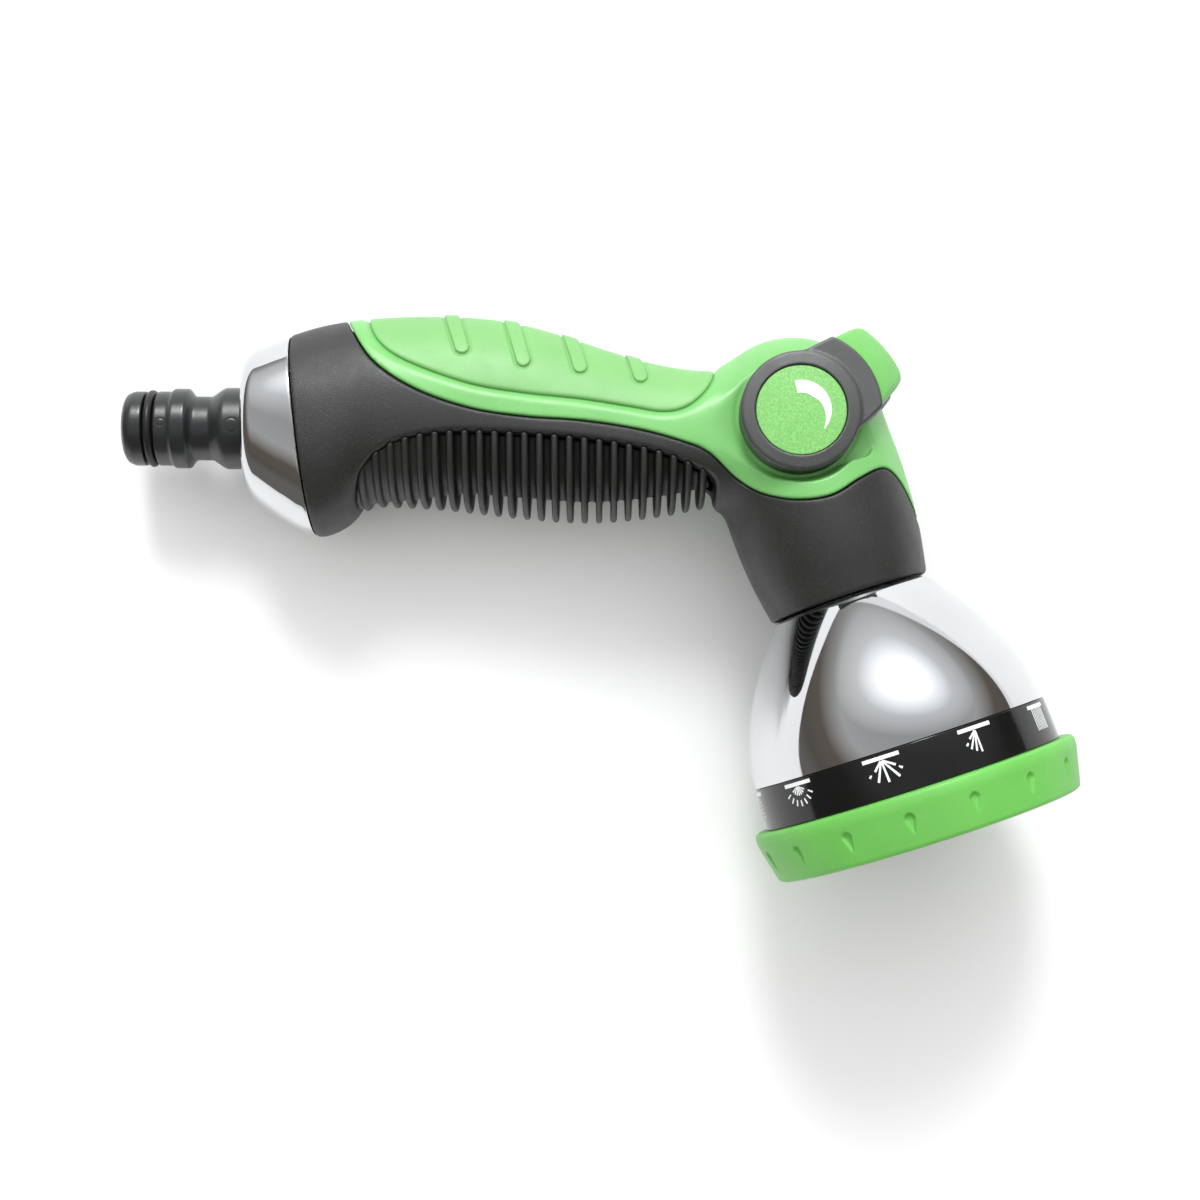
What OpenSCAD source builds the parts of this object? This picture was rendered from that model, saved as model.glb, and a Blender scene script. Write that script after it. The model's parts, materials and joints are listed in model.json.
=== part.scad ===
// Hose spray nozzle lying on its side.
// The origin is the centre of the tail's open end. +X runs along the handle to the head,
// +Y is the back of the hand grip, and z = 0 is the plane of symmetry.

/* [Hose tail] */
// Outer radius of the nose that enters the hose connector
nose_r = 8.2; // [7.9:0.05:8.4]
// Radius of the water way through the tail
tail_bore_r = 4.5; // [3.5:0.1:5]
// Radius of the guide flange behind the nose
flange_r = 8.8; // [8.6:0.05:9]
// Radius of the neck that the connector's catches grip
neck_r = 7.05; // [6.5:0.05:7.5]
// Radius of the shoulder that meets the collar
shoulder_r = 9; // [8.8:0.1:9.2]

/* [Handle] */
// Where the collar's end face stands along X
handle_x0 = 27; // [26:0.5:28]
// Squareness of the handle's cross-section: 2 is an ellipse
handle_power = 2.25; // [2:0.05:2.6]
// Thickness of the green cover
cover_t = 2.4; // [2:0.1:2.8]
// Thickness of the soft pad on the handle's back
pad_t = 1.4; // [1:0.1:1.8]
// Depth of the gap between grip fins
fin_depth = 4.6; // [3:0.1:5]
// Number of fins in the finger grip
fin_count = 24; // [16:1:24]
// Thickness of a fin
fin_t = 1.4; // [1:0.1:1.8]

/* [Head] */
// Distance of the valve pivot from the tail's end
pivot_x = 147.4; // [146:0.2:149]
// Lean of the head's axis from square to the handle
head_angle = 18; // [16:0.5:20]
// Radius of the dome round the valve
dome_r = 20; // [19.6:0.1:20.2]
// Where the lip below the lever's room stands, measured from the pivot
ledge_u = 13; // [13:0.1:13.4]

/* [Lever] */
// Outer radius of the hub rings
hub_r = 12.8; // [12:0.1:12.9]
// Height of the hub's rim above the plane of symmetry
hub_top = 22.9; // [22.6:0.1:23.2]
// Outer radius of the thumb pad's curved back
thumb_r = 26.8; // [26:0.1:27.5]

/* [Dial] */
// Number of spray patterns round the dial
patterns = 10; // [8:1:10]
// Number of grip dimples in the bumper
dimple_count = 16; // [10:1:18]
// Largest radius of the bumper
bumper_r = 36.2; // [35.5:0.1:37]

/* [Hidden] */
$fn = 64;
eps = 0.02;

// Clearances: a running fit, parts that pass each other, and a hole in a moulding
run_gap = 0.05;
pass_gap = 0.3;
hole_gap = 0.25;

// Handle stations along X: top edge, bottom edge and half width
top_edge = [[24, 15.3], [28, 16.9], [32, 18.45], [36, 20], [42, 22], [50, 23.6], [58, 24.3],
    [67, 24.6], [76, 24.4], [84, 23.5], [92, 21.7], [100, 19.2], [108, 16.5], [116, 14.2],
    [124, 12.7], [132, 12.2], [140, 12.2]];
bottom_edge = [[24, -13.1], [28, -16], [32, -18.8], [36, -21.3], [39.5, -23.1], [43, -24],
    [46, -23.3], [49, -21.6], [52, -18.9], [55, -17.7], [60, -17.6], [70, -18.2], [80, -19.3],
    [90, -20.4], [101, -21.1], [111, -20.6], [120, -19.4], [128, -17.8], [134, -16.9],
    [140, -16.8]];
half_width = [[24, 14.4], [28, 15.6], [33, 16.9], [37, 17.6], [42, 18.15], [48, 18.35],
    [58, 18.1], [76, 17.8], [98, 17.2], [118, 16.5], [132, 16.3], [140, 16.3]];
// Rounding of the handle's foot, where the tail comes out
foot_r = 2.5;
handle_x1 = 140;
section_sides = 28;
// Sides of the round forms inside the blended shells
shell_fn = 36;

// Lower edge of the green cover, seen from the side, and the outlines of the pad and the grip
cover_line = [[47, 32], [48.8, 25], [50.5, 20.7], [56, 12], [65, 5.7], [77, 1.4], [89, -0.4],
    [101, -1.2], [113, -3], [122, -5.4], [128, -7.8], [134, -13], [140, -17], [147, -18.6],
    [154, -17.7], [160, -14], [165, -11.3], [168, -12], [171, -15.3], [175, -22], [180, -30]];
pad_line = [[52.5, 30], [55, 20.5], [58.5, 15], [65, 11], [77, 6.7], [89, 4.7], [101, 3.5],
    [111, 2], [118, 0.9], [123, 1.8], [127, 5], [129.5, 9.5], [130.5, 16]];
grip_line = [[51.2, -27], [51.5, -19], [52.5, -14], [55, -9.5], [60, -6], [67, -4], [76, -3.4],
    [88, -3.8], [100, -4.7], [111, -6.2], [119, -8], [126, -10.8], [129.5, -13.2], [130, -17],
    [130.2, -25]];

// Raised bars on the pad: upper end, lower end, both on the bar's centre line
bars = [[[71, 28], [75.2, 15]], [[84, 28], [88.4, 12.2]], [[96.5, 26], [100.6, 11]],
    [[110.5, 22], [113.6, 9.2]]];
bar_w = 3.4;
bar_h = 0.4;
groove_w = 1.2;

// The collar meets the handle on a slightly leaning plane
collar_line = [[35.8, 30], [43.1, -30]];
collar_t = 1.6;
wall_in = 4.2;
grip_in = 7;
fin_x0 = 53.5;
fin_pitch = 3.2 * 23 / (fin_count - 1);

// Inlet
boss_r = 12;
boss_x1 = 46;
shank_r = 8;
shank_x1 = 41;
washer_t = 2;
tube_ro = 6.2;
tube_ri = 5.1;
// The tail's water way widens here to take the washer and the tube's end
seat_x = 26;
tube_x0 = seat_x + washer_t;
inlet_reach = 26;
socket_depth = 10;

// Valve: sizes are measured from the pivot
ball_r = 8;
chamber_r = 8.4;
chamber_h = 11.6;
body_r = 10.2;
bonnet_z0 = 8.6;
port_r = 4.2;
spindle_r = 4;
spindle_z = 20.4;
stem_ring_z = 10.1;
arm_r = 8.2;
pocket_r = 13.4;
pocket_z = 15;
// The lever's arms sweep inside this radius. The cover is solid from the deck up to its floor
sweep_r = 17.3;
deck_r = 18.5;
deck_z = 13;
deck_wall = 1.3;
seat_r0 = 6;
seat_u1 = 9.6;

// Neck and spigot, along the head axis from the pivot
neck_profile = [[20, 0], [20.1, 7], [20.3, 14], [20.2, 20], [19.45, 30], [17.8, 39.8]];
neck_end = 39.8;
web_u = 36.8;
spigot_r = 10;
spigot_u1 = 58;
ring_groove_u = 50.6;
seal_groove_u = 46;

// Bell: a curve that levels out at level_u, the wall, and the hub on the spigot
bell_u0 = 40.4;
level_u = 74;
dial_u0 = 73.2;
dial_u1 = 82.5;
dial_r0 = 32.7;
bell_outer = [for (i = [0:10]) let (u = bell_u0 + i * (dial_u0 - bell_u0) / 10)
    [dial_r0 - 0.0217 * pow(level_u - u, 1.87), u]];
bell_wall = 2;
hub_u1 = 50;
dial_r1 = 33.2;
dial_in = 30.2;
front_u = 94;
icon_depth = 0.4;
first_icon = 106;
first_dimple = 12.5;
pitch = 360 / patterns;

// Selector parts
carrier_u0 = 56;
carrier_u1 = 66;
carrier_r = 22.5;
port_orbit = 14;
detent_orbit = 19;
port_angle = first_icon + 180;
plate_u0 = 66.8;
plate_u1 = 70;
manifold_u1 = 84;
face_u1 = 89.5;

// Lever band
band_r0 = 21.2;
band_r1 = 22.8;
arm_z = 20.5;
arm_reach = 17.3;
cap_r = 9.6;
cap_z0 = 21.3;

// ---------- helpers ----------

function polar(r, a) = [r * cos(a), r * sin(a)];
function signed_power(v, p) = sign(v) * pow(abs(v), p);

// A smooth curve through the points, with the given number of steps in each stretch
function curve_at(p0, p1, p2, p3, t) = 0.5 * (2 * p1 + (p2 - p0) * t
    + (2 * p0 - 5 * p1 + 4 * p2 - p3) * t * t + (3 * p1 - p0 - 3 * p2 + p3) * t * t * t);
function smooth(pts, steps = 3) = let (last = len(pts) - 1) concat(
    [for (i = [0:last - 1], s = [0:steps - 1])
        curve_at(pts[max(i - 1, 0)], pts[i], pts[i + 1], pts[min(i + 2, last)], s / steps)],
    [pts[last]]);

// Local +Z along the head axis away from the pivot, local +Y along +Z
module on_head() {
    translate([pivot_x, 0, 0]) rotate([0, 0, head_angle]) rotate([90, 0, 0]) children();
}

// Local +Z along -X from the pivot
module on_inlet() {
    translate([pivot_x, 0, 0]) rotate([0, -90, 0]) children();
}

module at_pivot() {
    translate([pivot_x, 0, 0]) children();
}

module both_sides() {
    children();
    mirror([0, 0, 1]) children();
}

module around(count, start = 0) {
    for (i = [0:count - 1]) rotate([0, 0, start + i * 360 / count]) children();
}

module tube(r, hole, h) {
    difference() {
        cylinder(r = r, h = h);
        translate([0, 0, -1]) cylinder(r = hole, h = h + 2);
    }
}

// A ring of round section
module torus(r, section) {
    rotate_extrude() translate([r, 0]) circle(r = section, $fn = 24);
}

// How far the rounded foot draws in at x
function foot(x) = let (left = min(max(0, handle_x0 + foot_r - x), foot_r))
    foot_r - sqrt(foot_r * foot_r - left * left);

// One slice of the handle, drawn in by inset
module slice(x, inset) {
    t = lookup(x, top_edge) - inset - foot(x);
    b = lookup(x, bottom_edge) + inset + foot(x);
    w = lookup(x, half_width) - inset - foot(x);
    translate([x, 0, 0]) rotate([90, 0, 90]) linear_extrude(eps) polygon([
        for (i = [0:section_sides - 1]) let (a = i * 360 / section_sides) [
            (t + b) / 2 + (t - b) / 2 * signed_power(sin(a), 2 / handle_power),
            w * signed_power(cos(a), 2 / handle_power)]]);
}

// Stations where the handle is sliced: close together at the rounded foot and the pommel
function stations(inset) = concat(
    [handle_x0 + inset],
    [for (x = [27.4, 28.2, 29.5, 32, 36, 39.5, 43, 46, 49, 52, 55]) if (x > handle_x0 + inset) x],
    [for (x = [60:8:132]) x],
    [handle_x1]);

module handle_form(inset = 0) {
    xs = stations(inset);
    for (i = [0:len(xs) - 2]) hull() {
        slice(xs[i], inset);
        slice(xs[i + 1], inset);
    }
}

module head_form(inset = 0) {
    at_pivot() sphere(r = dome_r - inset, $fn = shell_fn);
    on_head() rotate_extrude($fn = shell_fn) polygon(concat([[0, 0]],
        [for (p = neck_profile) [p[0] - inset, p[1]]], [[0, neck_end]]));
}

module form(inset = 0) {
    handle_form(inset);
    head_form(inset);
}

// Prisms through the whole width, from outlines seen from the side
module prism(pts) {
    linear_extrude(80, center = true) polygon(pts);
}

module cover_zone() {
    prism(concat(smooth(cover_line), [[190, -30], [190, 40], [47, 40]]));
}

module pad_zone(grow = 0) {
    linear_extrude(80, center = true) offset(delta = grow)
        polygon(concat(smooth(pad_line), [[130.5, 40], [52.5, 40]]));
}

module grip_zone() {
    prism(smooth(grip_line));
}

module collar_side() {
    prism(concat([[20, 30]], collar_line, [[20, -30]]));
}

// Room on both sides of the dome for the hub rings and the arms' sweep, and for the spindle
module hub_room() {
    $fn = shell_fn;
    both_sides() {
        at_pivot() translate([0, 0, pocket_z]) cylinder(r = pocket_r, h = 12);
        intersection() {
            at_pivot() translate([0, 0, pocket_z]) cylinder(r = sweep_r, h = 12);
            on_head() translate([0, 0, -20]) cube([20, 40, 20 + ledge_u]);
        }
    }
    at_pivot() cylinder(r = spindle_r + pass_gap, h = 60, center = true);
}

// The form less its skin, cut short below the floor of the hub rings' room
module inner_form(inset, wall = 0) {
    difference() {
        form(inset);
        at_pivot() both_sides() translate([0, 0, deck_z - wall])
            cylinder(r = deck_r + wall, h = 12, $fn = shell_fn);
    }
}

// ---------- tail and collar ----------

module hose_tail() {
    color("#1c1c1d") rotate([0, 90, 0]) rotate_extrude() polygon([
        [tail_bore_r, 0], [nose_r - 1.6, 0], [nose_r - 0.5, 0.6], [nose_r, 2],
        [nose_r, 4.6], [nose_r - 1.5, 4.6], [nose_r - 1.5, 7.3], [nose_r, 7.3],
        [nose_r, 10.4], [flange_r, 11], [flange_r, 14.2], [neck_r, 15.2], [neck_r, 19.5],
        [shoulder_r, 21.9], [shoulder_r, handle_x0 + collar_t], [shank_r, handle_x0 + collar_t],
        [shank_r, shank_x1], [tube_ro + run_gap, shank_x1], [tube_ro + run_gap, seat_x],
        [tail_bore_r, seat_x]]);
}

module tail_o_ring() {
    color("#101010") translate([5.95, 0, 0]) rotate([0, 90, 0])
        torus(nose_r - 1.5 + 0.9, 0.9);
}

module inlet_washer() {
    color("#202020") translate([seat_x, 0, 0]) rotate([0, 90, 0])
        tube(tube_ro, tube_ri, washer_t);
}

module end_collar() {
    color("#d8dadd") difference() {
        intersection() {
            handle_form();
            collar_side();
        }
        handle_form(collar_t);
        rotate([0, 90, 0]) cylinder(r = shoulder_r + hole_gap, h = 40);
    }
}

// ---------- handle ----------

module handle_shell() {
    $fn = shell_fn;
    color("#34353a") difference() {
        union() {
            difference() {
                form();
                collar_side();
            }
            handle_form(collar_t + eps);
        }
        difference() {
            inner_form(wall_in, deck_wall);
            on_head() translate([0, 0, web_u]) cylinder(r = 30, h = 20);
            for (x = [66, 100]) translate([x, -40, -40]) cube([2.4, 80, 80]);
            rotate([0, 90, 0]) cylinder(r = boss_r, h = boss_x1);
        }
        difference() {
            cover_zone();
            inner_form(cover_t);
        }
        grip_zone();
        rotate([0, 90, 0]) cylinder(r = shank_r + hole_gap, h = shank_x1 + eps);
        rotate([0, 90, 0]) cylinder(r = tube_ro + hole_gap, h = 120);
        on_head() cylinder(r = spigot_r + hole_gap, h = 60);
        on_inlet() cylinder(r = arm_r + hole_gap, h = inlet_reach + hole_gap);
        hub_room();
    }
}

module top_cover() {
    color("#82dc70") difference() {
        intersection() {
            form();
            cover_zone();
        }
        inner_form(cover_t);
        difference() {
            pad_zone(groove_w / 2);
            form(pad_t);
        }
        on_head() cylinder(r = spigot_r + hole_gap, h = 60);
        hub_room();
    }
}

module bar_zone() {
    linear_extrude(80, center = true) for (b = bars) hull() {
        translate(b[0]) circle(d = bar_w);
        translate(b[1]) circle(d = bar_w);
    }
}

module palm_pad() {
    color("#7ad268") difference() {
        union() {
            intersection() {
                handle_form();
                pad_zone(-groove_w / 2);
            }
            intersection() {
                handle_form(-bar_h);
                bar_zone();
            }
        }
        handle_form(pad_t);
    }
}

module finger_grip() {
    color("#26272a") difference() {
        intersection() {
            grip_zone();
            union() {
                handle_form(fin_depth);
                intersection() {
                    handle_form();
                    for (i = [0:fin_count - 1])
                        translate([fin_x0 + i * fin_pitch - fin_t / 2, -40, -40])
                            cube([fin_t, 80, 80]);
                }
            }
        }
        handle_form(grip_in);
    }
}

module water_tube() {
    color("#b8bcc0") translate([tube_x0, 0, 0]) rotate([0, 90, 0])
        tube(tube_ro, tube_ri, pivot_x - inlet_reach + socket_depth - tube_x0);
}

// ---------- valve ----------

module valve_body() {
    color("#c9ccd0") difference() {
        union() {
            at_pivot() cylinder(r = body_r, h = 2 * chamber_h, center = true);
            on_inlet() cylinder(r = arm_r, h = inlet_reach);
            on_head() cylinder(r = spigot_r, h = spigot_u1);
        }
        at_pivot() translate([0, 0, -chamber_r]) cylinder(r = chamber_r, h = 30);
        at_pivot() translate([0, 0, -30]) cylinder(r = spindle_r + run_gap, h = 30);
        on_inlet() cylinder(r = port_r, h = 40);
        on_inlet() cylinder(r = seat_r0, h = seat_u1);
        on_inlet() translate([0, 0, inlet_reach - socket_depth])
            cylinder(r = tube_ro + run_gap, h = 20);
        on_head() cylinder(r = port_r, h = 70);
        on_head() cylinder(r = seat_r0, h = seat_u1);
        on_head() translate([0, 0, seal_groove_u - 1.1]) tube(20, spigot_r - 1.4, 2.2);
        on_head() translate([0, 0, ring_groove_u]) tube(20, spigot_r - 1, 1.6);
    }
}

module valve_bonnet() {
    color("#b39a4e") at_pivot() translate([0, 0, bonnet_z0])
        tube(chamber_r, spindle_r + run_gap, chamber_h - bonnet_z0);
}

module valve_rotor() {
    color("#d6d8da") difference() {
        union() {
            at_pivot() sphere(r = ball_r);
            at_pivot() cylinder(r = spindle_r, h = 2 * spindle_z, center = true);
        }
        at_pivot() sphere(r = port_r + 0.3);
        on_inlet() cylinder(r = port_r, h = 20);
        on_head() cylinder(r = port_r, h = 20);
        at_pivot() both_sides() {
            translate([0, 0, stem_ring_z - 0.6]) tube(20, spindle_r - 0.9, 1.2);
            translate([0, 0, spindle_z - 7]) cylinder(r = 1.5, h = 8);
        }
    }
}

module seat_ring() {
    difference() {
        translate([0, 0, ball_r - 2]) tube(seat_r0, port_r, seat_u1 - ball_r + 2);
        sphere(r = ball_r + run_gap);
    }
}

module seat_seals() {
    color("#e8e8e4") {
        on_inlet() seat_ring();
        on_head() seat_ring();
    }
}

module stem_o_rings() {
    color("#161616") at_pivot() both_sides() translate([0, 0, stem_ring_z])
        torus(spindle_r - 0.45, 0.45);
}

// ---------- lever ----------

// Outline of the band that passes over the dome, seen from the side
module band_zone() {
    linear_extrude(80, center = true) polygon([[4, 2], [12.3, -3.8], [16.9, 0.5], [22, 6.7],
        [23.8, 9.3], [27, 12], [45, 30], [14.6, 22], [6.3, 15.7], [0.1, 12.6]]);
}

module band(r0, r1) {
    intersection() {
        difference() {
            sphere(r = r1);
            sphere(r = r0);
        }
        band_zone();
    }
}

module valve_lever() {
    color("#232427") at_pivot() difference() {
        union() {
            band(band_r0, band_r1);
            both_sides() intersection() {
                band_zone();
                translate([0, 0, arm_z]) cylinder(r = arm_reach, h = hub_top - 0.8 - arm_z);
            }
            both_sides() translate([0, 0, pocket_z + pass_gap])
                cylinder(r = hub_r, h = hub_top - pocket_z - pass_gap);
        }
        both_sides() {
            translate([0, 0, cap_z0]) cylinder(r = cap_r + run_gap, h = 10);
            translate([0, 0, spindle_z]) cylinder(r = 4.6, h = 10);
            cylinder(r = spindle_r + run_gap, h = 30);
        }
    }
}

module thumb_pad() {
    color("#7ad268") at_pivot() difference() {
        intersection() {
            band(band_r1, thumb_r);
            cylinder(r = 60, h = 2 * arm_z, center = true);
        }
        both_sides() translate([0, 0, pocket_z]) cylinder(r = hub_r, h = 10);
    }
}

module lever_screws() {
    color("#9a9da0") at_pivot() both_sides() {
        translate([0, 0, spindle_z]) cylinder(r = 3.2, h = 0.8);
        translate([0, 0, spindle_z - 6]) cylinder(r = 1.5, h = 6.2);
    }
}

module lever_caps() {
    color("#78d066") at_pivot() both_sides() difference() {
        translate([0, 0, cap_z0]) cylinder(r = cap_r, h = hub_top - 0.4 - cap_z0);
        translate([0, 0, hub_top - 0.8]) crescent();
    }
}

// A tapering crescent: a disc less a smaller disc set off its centre, with a wedge left out
module crescent(h = 1) {
    rotate([0, 0, 215]) difference() {
        cylinder(r = 6.3, h = h);
        translate([-1.3, 0.4, -1]) cylinder(r = 5, h = h + 2);
        translate([0, 0, -1]) linear_extrude(h + 2)
            polygon([[0, 0], polar(12, 130), polar(14, 165), polar(14, 200), polar(12, 230)]);
    }
}

module flow_marks() {
    color("#f2f2f2") at_pivot() both_sides() translate([0, 0, hub_top - 0.8]) crescent(0.5);
}

// ---------- head ----------

module bell() {
    n = len(bell_outer) - 1;
    color("#d8dadd") on_head() difference() {
        rotate_extrude() polygon(concat([[0, bell_outer[0][1]]], bell_outer,
            [[0, bell_outer[n][1]]]));
        difference() {
            rotate_extrude() polygon(concat([[0, 39]],
                [for (p = bell_outer) [p[0] - bell_wall, p[1]]],
                [[bell_outer[n][0] - bell_wall, 80], [0, 80]]));
            cylinder(r = 40, h = hub_u1);
        }
        cylinder(r = spigot_r + run_gap, h = 90);
    }
}

module neck_o_ring() {
    color("#161616") on_head() translate([0, 0, seal_groove_u])
        torus(spigot_r - 0.7, 0.7);
}

module retaining_ring() {
    color("#c4b25a") on_head() translate([0, 0, ring_groove_u])
        difference() {
            tube(spigot_r + 2.5, spigot_r - 1 + run_gap, 1.6 - eps);
            translate([0, 12, 0]) cube([4, 14, 10], center = true);
        }
}

// Fixed disc on the spigot: leads the water to one off-centre port, and holds the detent
module port_carrier() {
    color("#8b9096") on_head() rotate([0, 0, port_angle]) difference() {
        translate([0, 0, carrier_u0]) cylinder(r = carrier_r, h = carrier_u1 - carrier_u0);
        translate([0, 0, carrier_u0 - 1])
            cylinder(r = spigot_r + run_gap, h = spigot_u1 - carrier_u0 + 1);
        translate([0, 0, carrier_u0]) cylinder(r = port_r, h = 5);
        translate([0, -3.5, spigot_u1 - eps]) cube([port_orbit, 7, 3]);
        translate([port_orbit, 0, spigot_u1]) cylinder(r = 5, h = 20);
        translate([-detent_orbit, 0, 59]) cylinder(r = 2.1, h = 20);
    }
}

module port_seal() {
    color("#1a1a1a") on_head() rotate([0, 0, port_angle])
        translate([port_orbit, 0, 62]) tube(4.9, 2.6, plate_u0 - pass_gap - 62);
}

// Turns of round wire, drawn as a stack of rings
module spring(r, wire, u0, u1, turns) {
    for (i = [0:turns - 1])
        translate([0, 0, u0 + wire + i * (u1 - u0 - 2 * wire) / (turns - 1)]) torus(r, wire);
}

module port_spring() {
    color("#b9bcc0") on_head() rotate([0, 0, port_angle])
        translate([port_orbit, 0, 0]) spring(4.2, 0.4, spigot_u1, 62, 3);
}

module detent_ball() {
    color("#c9ccd0") on_head() rotate([0, 0, port_angle])
        translate([-detent_orbit, 0, plate_u0 + 0.5 - 2]) sphere(r = 2);
}

module detent_spring() {
    color("#b9bcc0") on_head() rotate([0, 0, port_angle])
        translate([-detent_orbit, 0, 0]) spring(1.6, 0.3, 59, 63.2, 4);
}

// Turns with the dial: one port for each pattern, and a track with a dimple for each click
module selector_plate() {
    color("#3a3d42") on_head() difference() {
        translate([0, 0, plate_u0]) cylinder(r = 28, h = plate_u1 - plate_u0);
        around(patterns, first_icon) translate([port_orbit, 0, 60]) cylinder(r = 2.5, h = 20);
        translate([0, 0, plate_u0 - 1])
            tube(detent_orbit + 1.7, detent_orbit - 1.7, 1 + 0.9);
        around(patterns, first_icon) translate([detent_orbit, 0, plate_u0 - 0.4])
            sphere(r = 2.1);
        cylinder(r = 2.5, h = 90);
    }
}

// Ten cells that carry each port's water to its own group of spray holes
module manifold() {
    color("#3a3d42") on_head() difference() {
        translate([0, 0, plate_u1]) cylinder(r = 29.6, h = manifold_u1 - plate_u1);
        around(patterns, first_icon) translate([0, 0, plate_u1 - 1])
            linear_extrude(manifold_u1 - plate_u1 + 2) polygon([
                polar(6.5, -8), polar(28, -pitch / 2 + 2), polar(28, pitch / 2 - 2),
                polar(6.5, 8)]);
        cylinder(r = 2.5, h = 90);
    }
}

// Marks of one icon, drawn flat: x runs round the ring, y towards the front
module icon(kind) {
    translate([-4, 1]) square([8, 0.85]);
    if (kind == 0) for (i = [-2:2]) translate([i * 1.1, 2.6]) square([0.5, 3.6]);
    if (kind == 1) for (a = [-44:22:44]) translate([0, 2.2]) rotate(a)
        translate([-0.25, 0.6]) square([0.5, 3.2]);
    if (kind == 2) {
        for (a = [-24:16:24]) translate([0, 2.2]) rotate(a)
            translate([-0.25, 0.6]) square([0.5, 3.2]);
        translate([-1.6, 6.3]) square([3.2, 0.5]);
    }
    if (kind == 3) {
        for (s = [-1, 1]) translate([s * 1.6 - 0.3, 2.6]) square([0.6, 3.4]);
        translate([-0.3, 2.6]) square([0.6, 3.4]);
    }
}

module dial_form() {
    rotate_extrude() polygon([[dial_in, dial_u0 + eps], [dial_r0, dial_u0 + eps],
        [dial_r1, dial_u1], [dial_in, dial_u1]]);
}

module icon_inlays() {
    intersection() {
        difference() {
            dial_form();
            rotate_extrude() polygon([[0, 0], [dial_r0 - icon_depth, 0],
                [dial_r0 - icon_depth, dial_u0], [dial_r1 - icon_depth, dial_u1],
                [dial_r1 - icon_depth, 100], [0, 100]]);
        }
        for (i = [0:patterns - 1]) rotate([0, 0, first_icon + i * pitch])
            translate([dial_r0 - 3, 0, dial_u0]) rotate([90, 0, 90])
                linear_extrude(8) icon(i % 4);
    }
}

module dial_ring() {
    color("#0c0c0d") on_head() difference() {
        dial_form();
        icon_inlays();
    }
}

module dial_icons() {
    color("#f4f4f4") on_head() icon_inlays();
}

// Teardrop hollow: a round head towards the bell and a tail towards the front
module dimple() {
    sphere(r = 1.2);
    cylinder(r1 = 1.2, r2 = 0.3, h = 3.8);
}

module bumper() {
    color("#74cc62") on_head() difference() {
        rotate_extrude() polygon([[dial_r1, dial_u1], [bumper_r - 1, dial_u1],
            [bumper_r - 0.3, dial_u1 + 0.4], [bumper_r, dial_u1 + 1.3],
            [bumper_r - 1.9, front_u - 1.5], [bumper_r - 2.4, front_u - 0.4],
            [bumper_r - 3.4, front_u], [31.4, front_u], [dial_in + 0.8, face_u1 + 0.5],
            [dial_in + 0.8, dial_u1 + eps]]);
        around(dimple_count, first_dimple) translate([bumper_r - 0.2, 0, dial_u1 + 5.3])
            rotate([0, -9, 0]) dimple();
    }
}

// Front plate: a group of spray holes for each pattern
module face_plate() {
    color("#2b2d31") on_head() difference() {
        union() {
            translate([0, 0, manifold_u1]) cylinder(r = 30.9, h = face_u1 - manifold_u1);
            translate([0, 0, face_u1 - eps]) tube(12, 9, 1);
        }
        translate([0, 0, face_u1 - 1.5]) tube(29, 13.5, 3);
        for (i = [0:patterns - 1]) rotate([0, 0, first_icon + i * pitch])
            translate([0, 0, manifold_u1 - 1]) spray_holes(i % 3);
        cylinder(r = 2.5, h = 100);
        translate([0, 0, face_u1 - 2.5]) cylinder(r = 4.6, h = 10);
    }
}

module spray_holes(kind) {
    if (kind == 0) translate([21, 0, 0]) cylinder(r = 1.6, h = 12);
    if (kind == 1) for (x = [17.5:3.2:24]) for (s = [-1, 1])
        translate([x, s * x * 0.1, 0]) cylinder(r = 0.7, h = 12);
    if (kind == 2) translate([20, -4, 0]) cube([1.4, 8, 12]);
}

module centre_screw() {
    color("#b5b8bc") on_head() {
        translate([0, 0, plate_u0]) cylinder(r = 2.5 - run_gap, h = face_u1 - 2.5 - plate_u0);
        difference() {
            translate([0, 0, face_u1 - 2.5]) cylinder(r = 4.5, h = 2.6);
            for (a = [0, 90]) rotate([0, 0, a]) translate([0, 0, face_u1 + 0.2])
                cube([5, 0.9, 2], center = true);
        }
    }
}

hose_tail();
tail_o_ring();
inlet_washer();
end_collar();
handle_shell();
top_cover();
palm_pad();
finger_grip();
water_tube();
valve_body();
valve_bonnet();
valve_rotor();
seat_seals();
stem_o_rings();
valve_lever();
thumb_pad();
lever_screws();
lever_caps();
flow_marks();
bell();
neck_o_ring();
retaining_ring();
port_carrier();
port_seal();
port_spring();
detent_ball();
detent_spring();
selector_plate();
manifold();
dial_ring();
dial_icons();
bumper();
face_plate();
centre_screw();
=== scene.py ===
"""Looks of the hose spray nozzle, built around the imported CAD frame.

The moulded pieces are blended solids: each is a signed distance on a grid, which a surface net
turns into a mesh. The turned pieces are lathed. Lengths are in millimetres until a mesh is made.
"""

import itertools
import json
import math

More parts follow.
